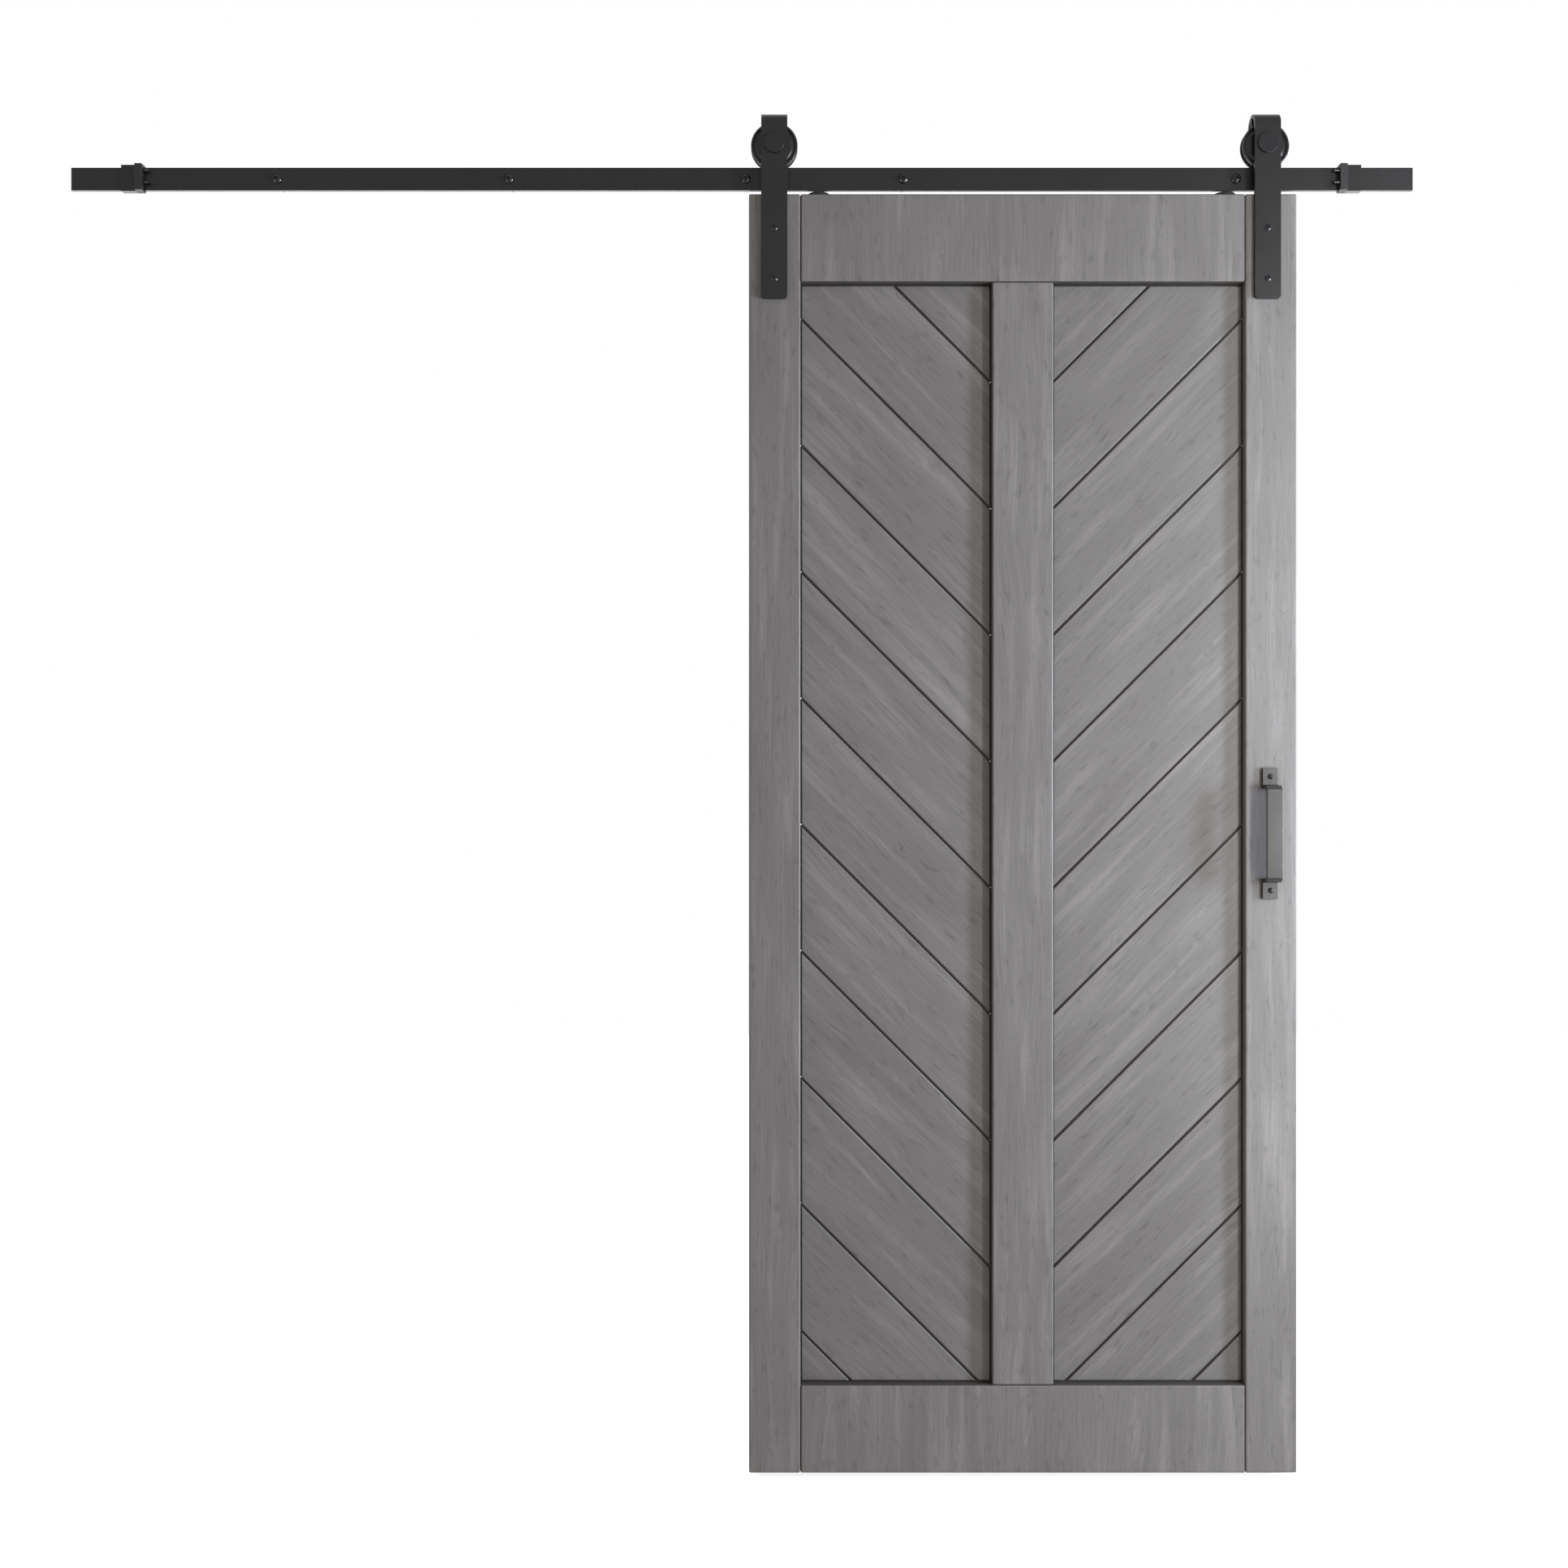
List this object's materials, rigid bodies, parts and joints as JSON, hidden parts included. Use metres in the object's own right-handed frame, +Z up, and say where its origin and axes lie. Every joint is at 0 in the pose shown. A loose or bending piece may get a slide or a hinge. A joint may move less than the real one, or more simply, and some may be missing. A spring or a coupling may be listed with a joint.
{
  "type": "sliding barn door",
  "caption": "Sliding barn door with chevron planks in a wood frame, hung on strap hangers with rollers from a flat steel wall track with end stops, and a pull handle.",
  "frame": {"origin": "on the wall plane, on the axis of the third lag screw from the left (mount wall_bolt_3)", "axes": "+X to the right along the track, +Y into the wall, +Z up; the door's front faces -Y"},
  "size_m": [2.2463, 0.1255, 2.27],
  "materials": {
    "frame_laminate": "grey oak-grain laminate, matt",
    "plank_laminate": "grey oak-grain laminate, matt",
    "dowel_beech": "raw fluted beech",
    "track_powder_coat": "satin black powder coat on steel",
    "stop_powder_coat": "satin black powder coat on steel",
    "hanger_powder_coat": "satin black powder coat on steel",
    "handle_powder_coat": "satin black powder coat on steel",
    "black_oxide_steel": "black oxide, slightly glossy",
    "zinc_steel": "bright zinc plate",
    "bearing_steel": "ground bearing steel",
    "wheel_nylon": "turned black nylon, semi-gloss",
    "bumper_rubber": "moulded black rubber, matt"
  },
  "bodies": {
    "track": {"track_bar": "track_powder_coat", "wall_spacer_1": "track_powder_coat", "wall_spacer_2": "track_powder_coat", "wall_spacer_3": "track_powder_coat", "wall_spacer_4": "track_powder_coat", "wall_spacer_5": "track_powder_coat", "lag_screws": "black_oxide_steel", "left_stop_clamp": "stop_powder_coat", "right_stop_clamp": "stop_powder_coat", "left_stop_bumper": "bumper_rubber", "right_stop_bumper": "bumper_rubber", "bumper_pins": "zinc_steel", "stop_set_screws": "zinc_steel"},
    "door": {"left_stile": "frame_laminate", "right_stile": "frame_laminate", "top_rail": "frame_laminate", "bottom_rail": "frame_laminate", "middle_stile": "frame_laminate", "frame_dowels": "dowel_beech", "left_plank_1": "plank_laminate", "left_plank_2": "plank_laminate", "left_plank_3": "plank_laminate", "left_plank_4": "plank_laminate", "left_plank_5": "plank_laminate", "left_plank_6": "plank_laminate", "left_plank_7": "plank_laminate", "left_plank_8": "plank_laminate", "left_plank_9": "plank_laminate", "left_plank_10": "plank_laminate", "left_plank_11": "plank_laminate", "right_plank_1": "plank_laminate", "right_plank_2": "plank_laminate", "right_plank_3": "plank_laminate", "right_plank_4": "plank_laminate", "right_plank_5": "plank_laminate", "right_plank_6": "plank_laminate", "right_plank_7": "plank_laminate", "right_plank_8": "plank_laminate", "right_plank_9": "plank_laminate", "right_plank_10": "plank_laminate", "right_plank_11": "plank_laminate", "left_strap": "hanger_powder_coat", "right_strap": "hanger_powder_coat", "strap_bolts": "black_oxide_steel", "strap_nuts": "black_oxide_steel", "axle_bolts": "black_oxide_steel", "axle_nuts": "black_oxide_steel", "axle_bushes": "zinc_steel", "bearing_inner_rings": "bearing_steel", "bearing_balls": "bearing_steel", "left_antijump_disc": "hanger_powder_coat", "right_antijump_disc": "hanger_powder_coat", "disc_screws": "zinc_steel", "pull_handle": "handle_powder_coat", "handle_screws": "black_oxide_steel"},
    "left_wheel": {"left_wheel": "wheel_nylon", "left_bearing_ring": "bearing_steel"},
    "right_wheel": {"right_wheel": "wheel_nylon", "right_bearing_ring": "bearing_steel"}
  },
  "joints": [
    {"name": "door_slide", "type": "slide", "parent": "track", "child": "door", "axis": [1, 0, 0], "range_m": [-1.031, 0.0985]},
    {"name": "left_wheel_spin", "type": "hinge", "parent": "door", "child": "left_wheel", "pos_m": [0.0477, -0.039, 0.054], "axis": [0, 1, 0], "continuous": true},
    {"name": "right_wheel_spin", "type": "hinge", "parent": "door", "child": "right_wheel", "pos_m": [0.8692, -0.039, 0.054], "axis": [0, 1, 0], "continuous": true}
  ],
  "couplings": [
    {"joint": "left_wheel_spin", "follows": "door_slide", "rad_per_m": 28.818},
    {"joint": "right_wheel_spin", "follows": "door_slide", "rad_per_m": 28.818}
  ]
}
